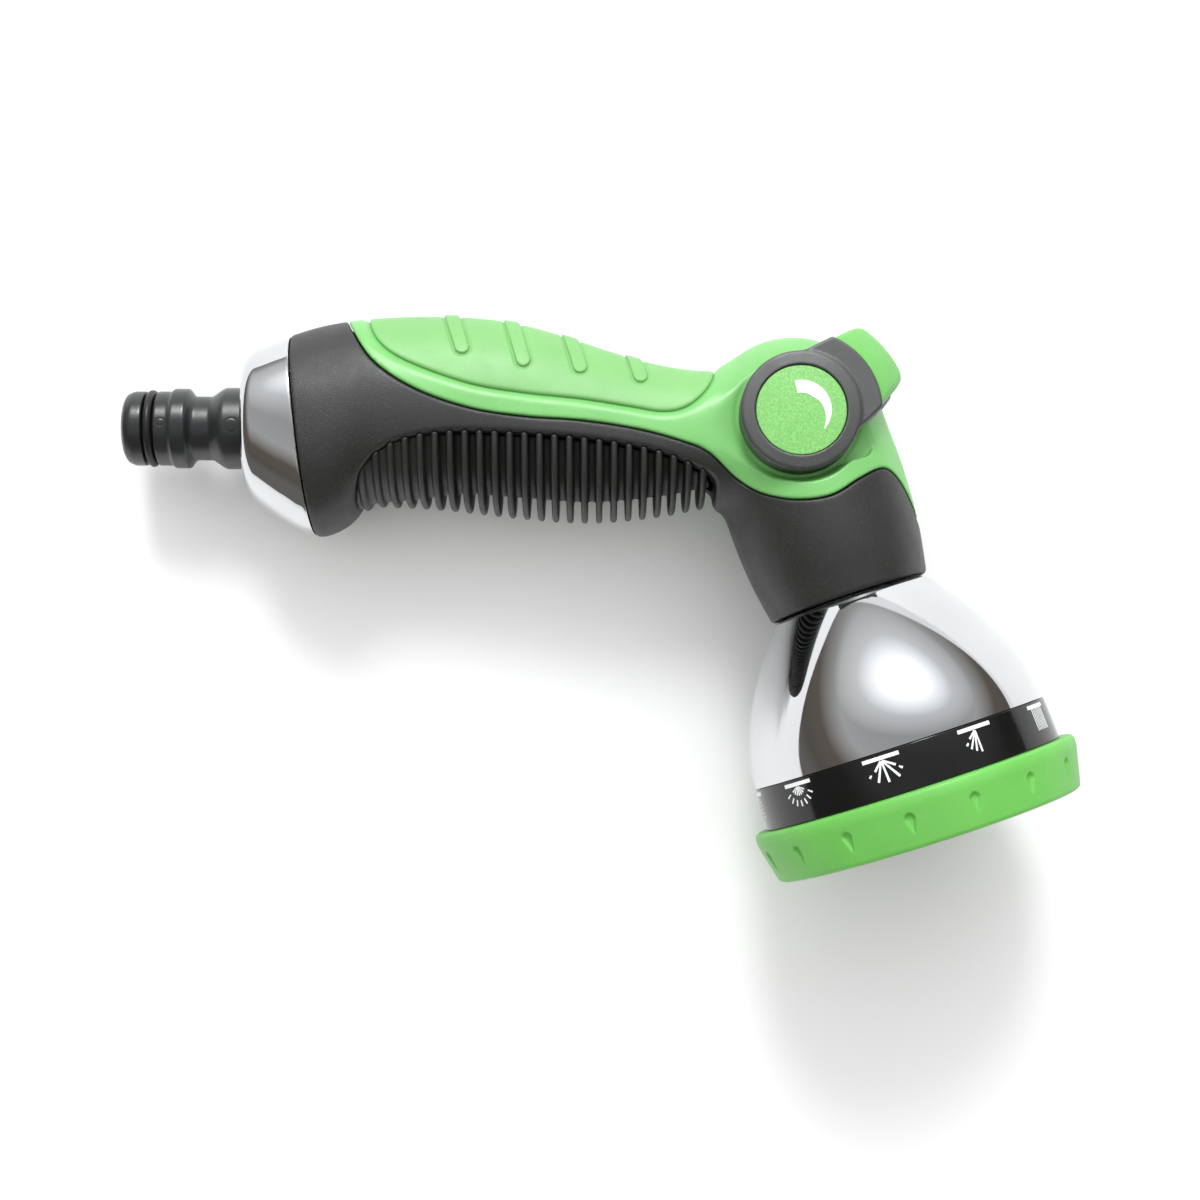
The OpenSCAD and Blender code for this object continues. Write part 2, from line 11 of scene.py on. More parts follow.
import bpy
import numpy as np
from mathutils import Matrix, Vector


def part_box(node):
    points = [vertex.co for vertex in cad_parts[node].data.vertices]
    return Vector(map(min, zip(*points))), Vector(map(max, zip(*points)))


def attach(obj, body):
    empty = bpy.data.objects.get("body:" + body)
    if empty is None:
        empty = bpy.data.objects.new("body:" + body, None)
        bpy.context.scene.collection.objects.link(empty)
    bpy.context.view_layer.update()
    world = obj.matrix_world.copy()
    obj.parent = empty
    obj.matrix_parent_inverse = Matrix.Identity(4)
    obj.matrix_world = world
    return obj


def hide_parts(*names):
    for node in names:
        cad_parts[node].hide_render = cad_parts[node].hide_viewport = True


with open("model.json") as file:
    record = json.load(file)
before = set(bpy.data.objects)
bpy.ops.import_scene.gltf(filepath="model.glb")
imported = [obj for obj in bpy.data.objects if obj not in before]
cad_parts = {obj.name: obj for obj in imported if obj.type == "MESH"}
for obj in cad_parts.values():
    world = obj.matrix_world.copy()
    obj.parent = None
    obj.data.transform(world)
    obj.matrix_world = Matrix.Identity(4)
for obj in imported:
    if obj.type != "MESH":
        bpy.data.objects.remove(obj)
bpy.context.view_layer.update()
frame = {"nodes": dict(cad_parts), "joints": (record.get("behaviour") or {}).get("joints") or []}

MM = 0.001
SHELL_STEP = 0.45
FINE_STEP = 0.33
LATHE_SIDES = 192

JOINTS = {j["name"]: j for j in frame["joints"]}
PIVOT_X = JOINTS["valve_lever"]["pos_m"][0] / MM
HEAD_AXIS = np.array(JOINTS["spray_dial"]["axis"], float)
HEAD_SIDE = np.array([-HEAD_AXIS[1], HEAD_AXIS[0], 0.0])


# ---------- curves and blends ----------

def smooth_at(x, table):
    """A smooth curve through (place, value) pairs, read at x."""
    places, values = np.array(table, float).T
    slopes = np.gradient(values, places)
    i = np.clip(np.searchsorted(places, x) - 1, 0, len(places) - 2)
    span = places[i + 1] - places[i]
    t = np.clip((x - places[i]) / span, 0, 1)
    return (
        values[i] * (1 + 2 * t) * (1 - t) ** 2
        + slopes[i] * span * t * (1 - t) ** 2
        + values[i + 1] * t * t * (3 - 2 * t)
        + slopes[i + 1] * span * t * t * (t - 1)
    )


def smooth_line(points, steps=8):
    """Points along a smooth curve through the given ones."""
    p = np.array(points, float)
    out = []
    for i in range(len(p) - 1):
        before, after = p[max(i - 1, 0)], p[min(i + 2, len(p) - 1)]
        for t in np.arange(steps) / steps:
            out.append(0.5 * (
                2 * p[i] + (p[i + 1] - before) * t
                + (2 * before - 5 * p[i] + 4 * p[i + 1] - after) * t * t
                + (3 * p[i] - before - 3 * p[i + 1] + after) * t ** 3
            ))
    return np.array(out + [p[-1]])


def cut(a, b, k=0.3):
    """Both a and b: the shared solid, its edge rounded over k."""
    h = np.maximum(k - np.abs(a - b), 0) / k
    return np.maximum(a, b) + h * h * k / 4


def join(a, b, k=0.3):
    """Either a or b, with a fillet of about k."""
    return -cut(-a, -b, k)


def outline_distance(x, y, points):
    """Distance in the XY plane to a closed outline, negative inside."""
    near = np.full(np.broadcast(x, y).shape, 1e9)
    inside = np.zeros(near.shape, bool)
    for a, b in zip(points, np.roll(points, -1, axis=0)):
        d = b - a
        length = max(d @ d, 1e-12)
        t = np.clip(((x - a[0]) * d[0] + (y - a[1]) * d[1]) / length, 0, 1)
        near = np.minimum(near, (x - a[0] - t * d[0]) ** 2 + (y - a[1] - t * d[1]) ** 2)
        crosses = (a[1] > y) != (b[1] > y)
        slope = d[0] / d[1] if abs(d[1]) > 1e-12 else 0.0
        inside ^= crosses & (x < a[0] + (y - a[1]) * slope)
    return np.where(inside, -1, 1) * np.sqrt(near)


# ---------- meshes ----------

class Block:
    """A grid of points over half of the part, z from just below 0 up."""

    def __init__(self, low, high, step):
        counts = [int(math.ceil((h - l) / step)) + 1 for l, h in zip(low, high)]
        self.step = step
        self.low = np.array([low[0], low[1], 0.0])
        self.x = (low[0] + step * np.arange(counts[0]))[:, None, None]
        self.y = (low[1] + step * np.arange(counts[1]))[None, :, None]
        self.z = (step * np.arange(counts[2]))[None, None, :]
        self.dx = self.x - PIVOT_X
        self.u = self.dx * HEAD_AXIS[0] + self.y * HEAD_AXIS[1]
        self.v = self.dx * HEAD_SIDE[0] + self.y * HEAD_SIDE[1]
        self.pivot_r = np.hypot(self.dx, self.y)
        self.dome_r = np.sqrt(self.pivot_r ** 2 + self.z ** 2)
        self.tail_r = np.sqrt(self.y ** 2 + self.z ** 2)

    def mirrored(self, field):
        """The field over both halves, and where it starts."""
        whole = np.concatenate([field[:, :, :0:-1], field], axis=2)
        low = self.low - [0, 0, self.step * (field.shape[2] - 1)]
        return whole, low


def sampled(field, p):
    """The field at points given in grid units."""
    limit = np.array(field.shape) - 1.001
    p = np.clip(p, 0, limit)
    i = p.astype(int)
    f = p - i
    total = 0
    for corner in itertools.product((0, 1), repeat=3):
        weight = np.prod([f[:, k] if c else 1 - f[:, k] for k, c in enumerate(corner)], axis=0)
        total = total + weight * field[tuple(i[:, k] + c for k, c in enumerate(corner))]
    return total


def slopes_at(field, p, reach=0.6):
    """The field's slopes at points given in grid units."""
    out = []
    for k in range(3):
        shift = np.zeros(3)
        shift[k] = reach
        out.append((sampled(field, p + shift) - sampled(field, p - shift)) / (2 * reach))
    return np.stack(out, axis=1)


def surface_net(field):
    """Points in grid units and quads of the zero surface."""
    n = np.array(field.shape) - 1
    inside = field < 0
    corners = list(itertools.product((0, 1), repeat=3))

    def at(c):
        return tuple(slice(c[k], n[k] + c[k]) for k in range(3))

    count = sum(inside[at(c)].astype(np.int8) for c in corners)
    cells = np.argwhere((count > 0) & (count < 8))
    ids = np.full(n, -1, np.int64)
    ids[tuple(cells.T)] = np.arange(len(cells))
    total = np.zeros((len(cells), 3))
    hits = np.zeros(len(cells))
    for c in corners:
        for k in range(3):
            if c[k]:
                continue
            far = np.array(c)
            far[k] = 1
            a = field[tuple((cells + c).T)]
            b = field[tuple((cells + far).T)]
            crosses = (a < 0) != (b < 0)
            t = np.where(crosses, a / np.where(crosses, a - b, 1), 0)
            point = np.array(c, float)[None, :] + t[:, None] * (far - np.array(c))
            total += point * crosses[:, None]
            hits += crosses
    points = cells + total / hits[:, None]
    quads = []
    for k in range(3):
        p, q = (k + 1) % 3, (k + 2) % 3
        start = [slice(1, -1)] * 3
        end = [slice(1, -1)] * 3
        start[k], end[k] = slice(0, -1), slice(1, None)
        first, second = inside[tuple(start)], inside[tuple(end)]
        for order, found in ((1, first & ~second), (-1, second & ~first)):
            edge = np.argwhere(found)
            edge[:, p] += 1
            edge[:, q] += 1
            ring = []
            for dp, dq in ((-1, -1), (0, -1), (0, 0), (-1, 0))[::order]:
                cell = edge.copy()
                cell[:, p] += dp
                cell[:, q] += dq
                ring.append(ids[tuple(cell.T)])
            quads.append(np.stack(ring, axis=1))
    return points, np.concatenate(quads)


def new_object(name, mesh, material):
    """An object in the scene, with one material."""
    piece = bpy.data.objects.new(name, mesh)
    bpy.context.scene.collection.objects.link(piece)
    mesh.materials.append(material)
    return piece


def mesh_of(name, points, faces, normals=None, sharp=None):
    """A smooth mesh from points in millimetres and faces that are all quads or lists."""
    mesh = bpy.data.meshes.new(name)
    if isinstance(faces, np.ndarray):
        sides = faces.shape[1]
        mesh.vertices.add(len(points))
        mesh.vertices.foreach_set("co", (points * MM).astype(np.float32).ravel())
        mesh.loops.add(faces.size)
        mesh.loops.foreach_set("vertex_index", faces.astype(np.int32).ravel())
        mesh.polygons.add(len(faces))
        mesh.polygons.foreach_set("loop_start", np.arange(0, faces.size, sides, dtype=np.int32))
    else:
        mesh.from_pydata([tuple(p) for p in np.asarray(points) * MM], [], faces)
    mesh.update(calc_edges=True)
    mesh.validate()
    mesh.polygons.foreach_set("use_smooth", np.ones(len(mesh.polygons), bool))
    if sharp is not None:
        mesh.set_sharp_from_angle(angle=math.radians(sharp))
    if normals is not None:
        mesh.normals_split_custom_set_from_vertices(normals.tolist())
    return mesh


def moulded(name, block, field, material):
    """A piece from a signed distance over a block."""
    whole, low = block.mirrored(field)
    points, quads = surface_net(whole)
    for _ in range(3):
        value = sampled(whole, points)
        slope = slopes_at(whole, points)
        size = np.maximum((slope ** 2).sum(axis=1), 1e-6)
        move = slope * (value / size)[:, None]
        length = np.linalg.norm(move, axis=1, keepdims=True)
        points = points - move * np.minimum(1, 0.4 / np.maximum(length, 1e-9))
    slope = slopes_at(whole, points)
    normals = slope / np.maximum(np.linalg.norm(slope, axis=1, keepdims=True), 1e-9)
    return new_object(name, mesh_of(name, low + points * block.step, quads, normals), material)


def on_head(points):
    """From (across, along +Z, down the head axis) to the part's frame."""
    p = np.asarray(points, float)
    across, up, down = p[:, 0:1], p[:, 1:2], p[:, 2:3]
    origin = np.array([PIVOT_X, 0, 0])
    return origin + across * HEAD_SIDE + up * np.array([0, 0, 1.0]) + down * HEAD_AXIS


def on_tail(points):
    """From (across, across, along +X) to the part's frame."""
    p = np.asarray(points, float)
    return p[:, [2, 0, 1]]


def at_pivot(points):
    """From the pivot's frame to the part's frame."""
    return np.asarray(points, float) + [PIVOT_X, 0, 0]


def rounded(profile, radius, steps=4):
    """The profile with each inner corner turned into a short arc."""
    p = np.array(profile, float)
    out = [p[0]]
    for before, corner, after in zip(p, p[1:], p[2:]):
        to_before, to_after = before - corner, after - corner
        r = min(radius, np.linalg.norm(to_before) * 0.45, np.linalg.norm(to_after) * 0.45)
        start = corner + to_before / np.linalg.norm(to_before) * r
        end = corner + to_after / np.linalg.norm(to_after) * r
        for t in np.linspace(0, 1, steps + 1):
            out.append((1 - t) ** 2 * start + 2 * t * (1 - t) * corner + t * t * end)
    return np.array(out + [p[-1]])


def lathe(profile, sides=LATHE_SIDES):
    """Points and quads of a closed ring: the (radius, height) profile turned once round."""
    p = np.asarray(profile, float)
    angles = np.arange(sides) * 2 * math.pi / sides
    ring = np.stack([
        np.outer(np.cos(angles), p[:, 0]),
        np.outer(np.sin(angles), p[:, 0]),
        np.broadcast_to(p[:, 1], (sides, len(p))),
    ], axis=2).reshape(-1, 3)
    i, j = np.meshgrid(np.arange(sides), np.arange(len(p)), indexing="ij")
    i2, j2 = (i + 1) % sides, (j + 1) % len(p)
    n = len(p)
    quads = np.stack([i * n + j, i2 * n + j, i2 * n + j2, i * n + j2], axis=2).reshape(-1, 4)
    return ring, quads


def turned(name, profile, place, material, sides=LATHE_SIDES, shape=None, sharp=40):
    """A lathed closed ring, changed by shape(points) and set in the part by place(points)."""
    points, quads = lathe(profile, sides)
    if shape is not None:
        points = shape(points)
    return new_object(name, mesh_of(name, place(points), quads, sharp=sharp), material)


# ---------- materials ----------

def linear(r, g, b):
    """Linear colour from 0-255 display values."""
    def one(c):
        c = c / 255
        return c / 12.92 if c <= 0.04045 else ((c + 0.055) / 1.055) ** 2.4
    return (one(r), one(g), one(b), 1.0)


class Shade:
    """Small helper round a material's node tree."""

    def __init__(self, name):
        self.material = bpy.data.materials.new(name)
        self.material.use_nodes = True
        self.tree = self.material.node_tree
        self.shader = self.tree.nodes["Principled BSDF"]
        self.coords = self.add("ShaderNodeTexCoord").outputs["Object"]

    def add(self, kind, **values):
        node = self.tree.nodes.new(kind)
        for key, value in values.items():
            if key in node.inputs:
                node.inputs[key].default_value = value
            else:
                setattr(node, key, value)
        return node

    def link(self, a, b):
        self.tree.links.new(a, b)

    def noise(self, size_mm, detail=2.0, rough=0.5):
        node = self.add("ShaderNodeTexNoise")
        node.inputs["Scale"].default_value = 1 / (size_mm * MM)
        node.inputs["Detail"].default_value = detail
        node.inputs["Roughness"].default_value = rough
        self.link(self.coords, node.inputs["Vector"])
        return node.outputs["Fac"]

    def dots(self, size_mm):
        node = self.add("ShaderNodeTexVoronoi")
        node.inputs["Scale"].default_value = 1 / (size_mm * MM)
        self.link(self.coords, node.inputs["Vector"])
        return node

    def spots(self, pitch_mm, size, share, strength):
        """Small round spots, size in parts of their pitch, in a share of the cells."""
        cells = self.dots(pitch_mm)
        small = self.ramp(cells.outputs["Distance"], size * 0.7, size * 1.2, 1.0, 0.0)
        few = self.ramp(cells.outputs["Color"], share + 0.01, share - 0.01, 0.0, strength)
        both = self.add("ShaderNodeMath", operation="MULTIPLY")
        self.link(small, both.inputs[0])
        self.link(few, both.inputs[1])
        return both.outputs[0]

    def ramp(self, source, low, high, start, end):
        node = self.add("ShaderNodeMapRange")
        node.inputs["From Min"].default_value = low
        node.inputs["From Max"].default_value = high
        node.inputs["To Min"].default_value = start
        node.inputs["To Max"].default_value = end
        self.link(source, node.inputs["Value"])
        return node.outputs["Result"]

    def mix(self, factor, a, b):
        node = self.add("ShaderNodeMix", data_type="RGBA")
        for slot, value in ((6, a), (7, b)):
            if isinstance(value, tuple):
                node.inputs[slot].default_value = value
            else:
                self.link(value, node.inputs[slot])
        self.link(factor, node.inputs[0])
        return node.outputs[2]

    def bump(self, source, strength, depth_mm, after=None):
        node = self.add("ShaderNodeBump")
        node.inputs["Strength"].default_value = strength
        node.inputs["Distance"].default_value = depth_mm * MM
        self.link(source, node.inputs["Height"])
        if after is not None:
            self.link(after, node.inputs["Normal"])
        return node.outputs["Normal"]

    def finish(self, color=None, rough=None, normal=None, **fixed):
        if color is not None:
            self.link(color, self.shader.inputs["Base Color"])
        if rough is not None:
            self.link(rough, self.shader.inputs["Roughness"])
        if normal is not None:
            self.link(normal, self.shader.inputs["Normal"])
        for key, value in fixed.items():
            self.shader.inputs[key].default_value = value
        return self.material


def grained(name, base, rough, grain_mm, grain_depth, spread=0.1, dust=0.0, painted_glint=0.0, **fixed):
    """A moulding: slow colour drift, a fine grain with painted shade in its low spots, painted
    glints as bright points in the grain, a little dust.
    """
    s = Shade(name)
    dark = tuple(c * (1 - spread) for c in base[:3]) + (1.0,)
    light = tuple(min(1.0, c * (1 + spread)) for c in base[:3]) + (1.0,)
    drift = s.ramp(s.noise(14, 3), 0.3, 0.7, 0.0, 1.0)
    color = s.mix(drift, dark, light)
    grain = s.noise(grain_mm, 2.0, 0.6)
    grain_height = s.ramp(grain, 0.25, 0.75, 0.0, 1.0)
    # painted shade: the colour darkens where the grain, which is also the bump's height, is low,
    # in its pits
    pit_shade = tuple(c * 0.82 for c in base[:3]) + (1.0,)
    color = s.mix(s.ramp(grain_height, 0.0, 0.45, 0.5, 0.0), color, pit_shade)
    if dust:
        color = s.mix(s.spots(2.2, 0.028, 0.29, dust), color, (0.5, 0.5, 0.48, 1.0))
    # painted glints: small light grey spots mixed into the colour stand in for light glinting off
    # the rough grain
    if painted_glint:
        color = s.mix(s.spots(0.3, 0.22, 0.3, painted_glint), color, (0.22, 0.22, 0.22, 1.0))
    roughness = s.ramp(s.noise(5, 3), 0.3, 0.7, rough - 0.05, rough + 0.06)
    normal = s.bump(grain, 0.35, grain_depth)
    return s.finish(color, roughness, normal, **fixed)


def sparkle(name, base, rough):
    """Green with a fine crystalline grain, as spark-eroded moulds leave, and painted sparkle:
    lighter cells in the colour.
    """
    s = Shade(name)
    cells = s.dots(0.2)
    # painted sparkle: many of the small cells are made lighter, standing in for glints; the cell
    # bumps below are the grain itself
    light = tuple(min(1.0, c * 1.3 + 0.04) for c in base[:3]) + (1.0,)
    color = s.mix(s.ramp(cells.outputs["Color"], 0.3, 0.9, 0.0, 1.0), base, light)
    roughness = s.ramp(s.noise(3, 2), 0.3, 0.7, rough - 0.06, rough + 0.06)
    normal = s.bump(cells.outputs["Distance"], 0.5, 0.05, s.bump(s.noise(0.3, 3), 0.4, 0.05))
    return s.finish(color, roughness, normal)


def chrome(name):
    """Plating: a mirror with the faintest waviness and a few small marks."""
    s = Shade(name)
    color = s.mix(s.ramp(s.noise(20, 2), 0.3, 0.7, 0.0, 1.0), (0.66, 0.67, 0.69, 1),
                  (0.70, 0.71, 0.72, 1))
    roughness = s.ramp(s.noise(2.5, 4, 0.7), 0.45, 0.8, 0.02, 0.09)
    normal = s.bump(s.noise(18, 1), 0.05, 0.1)
    return s.finish(color, roughness, normal, Metallic=1.0)


def gloss(name, base, rough=0.08):
    """Polished plastic with a trace of unevenness and small scratches."""
    s = Shade(name)
    color = s.mix(s.ramp(s.noise(10, 3), 0.3, 0.7, 0.0, 1.0), base,
                  tuple(min(1, c * 1.3 + 0.002) for c in base[:3]) + (1,))
    roughness = s.ramp(s.noise(1.5, 4, 0.7), 0.4, 0.8, rough, rough + 0.12)
    normal = s.bump(s.noise(6, 2), 0.05, 0.1)
    return s.finish(color, roughness, normal)


def metal(name, base, rough):
    """Plain machined metal with fine turning marks."""
    s = Shade(name)
    color = s.mix(s.noise(4, 3), base, tuple(c * 0.85 for c in base[:3]) + (1,))
    roughness = s.ramp(s.noise(0.8, 4), 0.3, 0.7, rough - 0.05, rough + 0.08)
    return s.finish(color, roughness, s.bump(s.noise(0.3, 2), 0.15, 0.02), Metallic=1.0)


SHEEN = {"Specular IOR Level": 0.75}
# the last number, 0.4, is the strength of the painted glints
BLACK = grained("black_shell", linear(34, 35, 34), 0.48, 0.26, 0.14, 0.10, 0.8, 0.4, **SHEEN)
GREEN = grained("green_cover", linear(118, 190, 106), 0.40, 0.35, 0.035, 0.04,
                **{"Specular IOR Level": 0.7})
SOFT_GREEN = grained("soft_green", linear(122, 184, 108), 0.50, 0.4, 0.03, 0.04,
                     **{"Specular IOR Level": 0.7})
THUMB = grained("thumb_green", linear(109, 187, 90), 0.48, 0.4, 0.03, 0.04)
GRIP = grained("grip_rubber", linear(38, 39, 38), 0.48, 0.3, 0.06, 0.12, 0.5, **SHEEN)
TAIL = grained("tail_black", linear(30, 32, 33), 0.32, 0.5, 0.03, 0.12, 0.6, **SHEEN)
RUBBER = grained("black_rubber", linear(26, 26, 27), 0.42, 0.5, 0.03, 0.1, 0.3)
BUMPER = grained("bumper_green", linear(107, 189, 83), 0.46, 0.5, 0.03, 0.05, 0.2)
# the last number, 0.5, is the strength of the painted glints
LEVER = grained("lever_black", linear(38, 40, 40), 0.50, 0.24, 0.16, 0.1, 0.4, 0.5,
                **{"IOR": 1.7, "Specular IOR Level": 0.9})
CAP = sparkle("cap_green", linear(116, 182, 96), 0.42)
CHROME = chrome("chrome")
DIAL = gloss("dial_black", linear(14, 14, 15))
WHITE = grained("white_print", linear(240, 242, 244), 0.42, 0.6, 0.01, 0.03)
STEEL = metal("steel", (0.58, 0.58, 0.59, 1), 0.28)
BRASS = metal("brass", (0.70, 0.52, 0.24, 1), 0.3)
GREY = grained("grey_plastic", linear(150, 153, 156), 0.42, 0.6, 0.03, 0.06)
DARK = grained("dark_plastic", linear(44, 46, 49), 0.40, 0.4, 0.05, 0.1)
SEAT = grained("seat_white", linear(226, 226, 222), 0.4, 0.8, 0.02, 0.04)

NODE_MATERIALS = {
    "inlet_washer": RUBBER, "water_tube": GREY, "valve_body": GREY, "valve_bonnet": BRASS,
    "valve_rotor": STEEL, "seat_seals": SEAT, "stem_o_rings": RUBBER, "lever_screws": STEEL,
    "neck_o_ring": RUBBER, "retaining_ring": STEEL, "port_carrier": GREY, "port_seal": RUBBER,
    "port_spring": STEEL, "detent_ball": STEEL, "detent_spring": STEEL,
    "selector_plate": DARK, "manifold": DARK, "face_plate": DARK, "centre_screw": STEEL,
}
for node_name, node_material in NODE_MATERIALS.items():
    node_object = frame["nodes"][node_name]
    node_object.data.materials.clear()
    node_object.data.materials.append(node_material)


def dress(piece, body, slot, *nodes):
    """The piece rides on a body and stands for the nodes, which it hides; slot is not used."""
    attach(piece, body)
    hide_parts(*nodes)
    return piece


# ---------- the body's form ----------

TOP_EDGE = [(24, 15.3), (28, 16.9), (32, 18.45), (36, 20), (42, 22), (50, 23.6), (58, 24.3),
            (67, 24.6), (76, 24.4), (84, 23.5), (92, 21.7), (100, 19.2), (108, 16.5),
            (116, 14.2), (124, 12.7), (132, 12.2), (140, 12.2)]
BOTTOM_EDGE = [(24, -13.1), (28, -16), (32, -18.8), (36, -21.3), (39.5, -23.1), (43, -24),
               (46, -23.3), (49, -21.6), (52, -18.9), (55, -17.7), (60, -17.6), (70, -18.2),
               (80, -19.3), (90, -20.4), (101, -21.1), (111, -20.6), (120, -19.4),
               (128, -17.8), (134, -16.9), (140, -16.8)]
HALF_WIDTH = [(24, 14.4), (28, 15.6), (33, 16.9), (37, 17.6), (42, 18.15), (48, 18.35),
              (58, 18.1), (76, 17.8), (98, 17.2), (118, 16.5), (132, 16.3), (140, 16.3)]
SECTION_POWER = 2.25
HANDLE_X0 = 27.0
HANDLE_X1 = 141.0
DOME_R = 20.0
NECK = [(0, 20), (7, 20.1), (14, 20.3), (20, 20.2), (30, 19.45), (40, 17.75)]
NECK_END = 39.8
POCKET_R = 13.4
POCKET_Z = 15.0
SWEEP_R = 17.3
LEDGE_U = 13.0
DECK_R = 18.5
DECK_Z = 13.0
DECK_WALL = 1.3
SPINDLE_HOLE_R = 4.3
NECK_BORE_R = 10.3
COLLAR_HOLE_R = 9.15

COVER_LINE = [(47, 32), (48.8, 25), (50.5, 20.7), (56, 12), (65, 5.7), (77, 1.4), (89, -0.4),
              (101, -1.2), (113, -3), (122, -5.4), (128, -7.8), (134, -13), (140, -17),
              (147, -18.6), (154, -17.7), (160, -14), (165, -11.3), (168, -12),
              (171, -15.3), (175, -22), (180, -30)]
PAD_LINE = [(52.5, 30), (55, 20.5), (58.5, 15), (65, 11), (77, 6.7), (89, 4.7), (101, 3.5),
            (111, 2), (118, 0.9), (123, 1.8), (127, 5), (129.5, 9.5), (130.5, 16)]
GRIP_LINE = [(51.2, -27), (51.5, -19), (52.5, -14), (55, -9.5), (60, -6), (67, -4),
             (76, -3.4), (88, -3.8), (100, -4.7), (111, -6.2), (119, -8), (126, -10.8),
             (129.5, -13.2), (130, -17), (130.2, -25)]
COLLAR_LINE = [(35.8, 30), (43.1, -30)]
BARS = [((71, 28), (75.2, 15)), ((84, 28), (88.4, 12.2)), ((96.5, 26), (100.6, 11)),
        ((110.5, 22), (113.6, 9.2))]
BAR_R = 1.7
BAR_H = 0.4
COVER_T = 2.4
PAD_T = 1.4
WALL = 4.2
COLLAR_T = 1.6
SEAM = 0.3


def handle_field(b):
    """Distance to the hand grip: smooth sections along X."""
    x = np.clip(b.x, HANDLE_X0, HANDLE_X1)
    top, bottom = smooth_at(x, TOP_EDGE), smooth_at(x, BOTTOM_EDGE)
    width = smooth_at(x, HALF_WIDTH)
    rise = (top - bottom) / 2
    ratio = (np.abs(b.y - (top + bottom) / 2) / rise) ** SECTION_POWER
    ratio = (ratio + (b.z / width) ** SECTION_POWER) ** (1 / SECTION_POWER) - 1
    steepness = np.sqrt(sum(g * g for g in np.gradient(ratio, b.step)))
    distance = ratio / np.maximum(steepness, 0.02)
    return cut(cut(distance, HANDLE_X0 - b.x, 3.0), b.x - HANDLE_X1, 2.0)


def head_field(b):
    """Distance to the dome and the neck below it."""
    reach = np.sqrt(b.v ** 2 + b.z ** 2)
    neck = np.maximum(reach - smooth_at(b.u, NECK), -b.u)
    return np.minimum(b.dome_r - DOME_R, neck)


def body_field(b):
    """Distance to the grip and the head, blended and cut off at the neck's end."""
    whole = join(handle_field(b), head_field(b), 4.5)
    return cut(whole, b.u - NECK_END, 0.8)


def lever_room(b):
    """Space for the hub rings and the arms' sweep: flat beside the dome, flared to the grip."""
    sweep = cut(cut(b.pivot_r - SWEEP_R, b.u - LEDGE_U, 1.0), -b.v, 2.0)
    plan = join(b.pivot_r - POCKET_R, sweep, 0.6)
    away = np.maximum(np.clip((b.v + 2) / 6, 0, 1), np.clip(b.u / 13, 0, 1) ** 2)
    steep = 0.2 + 3.0 * away ** 2
    flare = POCKET_Z - b.z + steep * np.maximum(b.pivot_r - POCKET_R, 0)
    return join(cut(plan, POCKET_Z - b.z, 0.5), flare, 1.0)


def inner(b, form, depth):
    """The body less its skin: depth below the surface, and below the deck at the pivot."""
    deck = np.maximum(DECK_Z - b.z, b.pivot_r - DECK_R)
    return np.maximum(form + depth, -deck)


def closed(line, *ends):
    """A smooth line, closed through the end points."""
    return np.concatenate([smooth_line(line), np.array(ends, float).reshape(-1, 2)])


def zone(b, points):
    """Distance to an outline in the side view, the same at every depth."""
    return outline_distance(b.x[:, :, 0], b.y[:, :, 0], points)[:, :, None]


def cover_zone(b):
    """The top cover's area."""
    return zone(b, closed(COVER_LINE, (190, -30), (190, 40), (47, 40)))


def pad_zone(b):
    """The palm pad's area."""
    return zone(b, closed(PAD_LINE, (130.5, 40), (52.5, 40)))


def grip_zone(b):
    """The finger grip's area."""
    return zone(b, closed(GRIP_LINE))


def collar_zone(b):
    """The end collar's area."""
    return zone(b, np.array([(0, 30), *COLLAR_LINE, (0, -30)], float))


def spindle_hole(b):
    """The round hole at the pivot."""
    return b.pivot_r - SPINDLE_HOLE_R


body_block = Block((24, -47, 0), (176, 29, 25), SHELL_STEP)
body_form = body_field(body_block)
body_skin = cut(body_form, -lever_room(body_block), 0.6)


def make_shell():
    """The hollow dark shell, cut back under the cover, the collar and the grip."""
    b, form = body_block, body_form
    under_cover = cut(cover_zone(b) - SEAM / 2, -inner(b, form, COVER_T), 0.4)
    shell = cut(body_skin, -under_cover, 0.5)
    shell = cut(shell, -collar_zone(b), 0.4)
    shell = cut(shell, -grip_zone(b), 1.0)
    hollow = cut(inner(b, form, WALL), b.u - (NECK_END - 3), 0.5)
    hollow = np.maximum(hollow, np.minimum(b.z - DECK_Z + DECK_WALL, DECK_R - b.pivot_r))
    shell = cut(shell, -hollow, 0.5)
    above_pivot = 50 * (b.u < 0)
    bore = NECK_BORE_R - np.sqrt(b.v ** 2 + b.z ** 2) - above_pivot
    shell = cut(shell, bore, 0.3)
    shell = cut(shell, -spindle_hole(b), 0.3)
    return dress(moulded("shell", b, shell, BLACK), "nozzle_body", "black_shell", "handle_shell")


def make_cover():
    """The green cover, with a recess for the palm pad."""
    b, form = body_block, body_form
    cover = cut(body_skin, cover_zone(b) + SEAM / 2, 0.5)
    slope = 1.5
    past_pad = 1.3
    pad = pad_zone(b)
    recess = cut((pad - past_pad - slope * form) / math.hypot(1, slope), -(form + PAD_T), 0.3)
    cover = cut(cover, -recess, 0.5)
    cover = cut(cover, -inner(b, form, COVER_T), 0.3)
    cover = cut(cover, -spindle_hole(b), 0.3)
    return dress(moulded("cover", b, cover, GREEN), "nozzle_body", "green_cover", "top_cover")


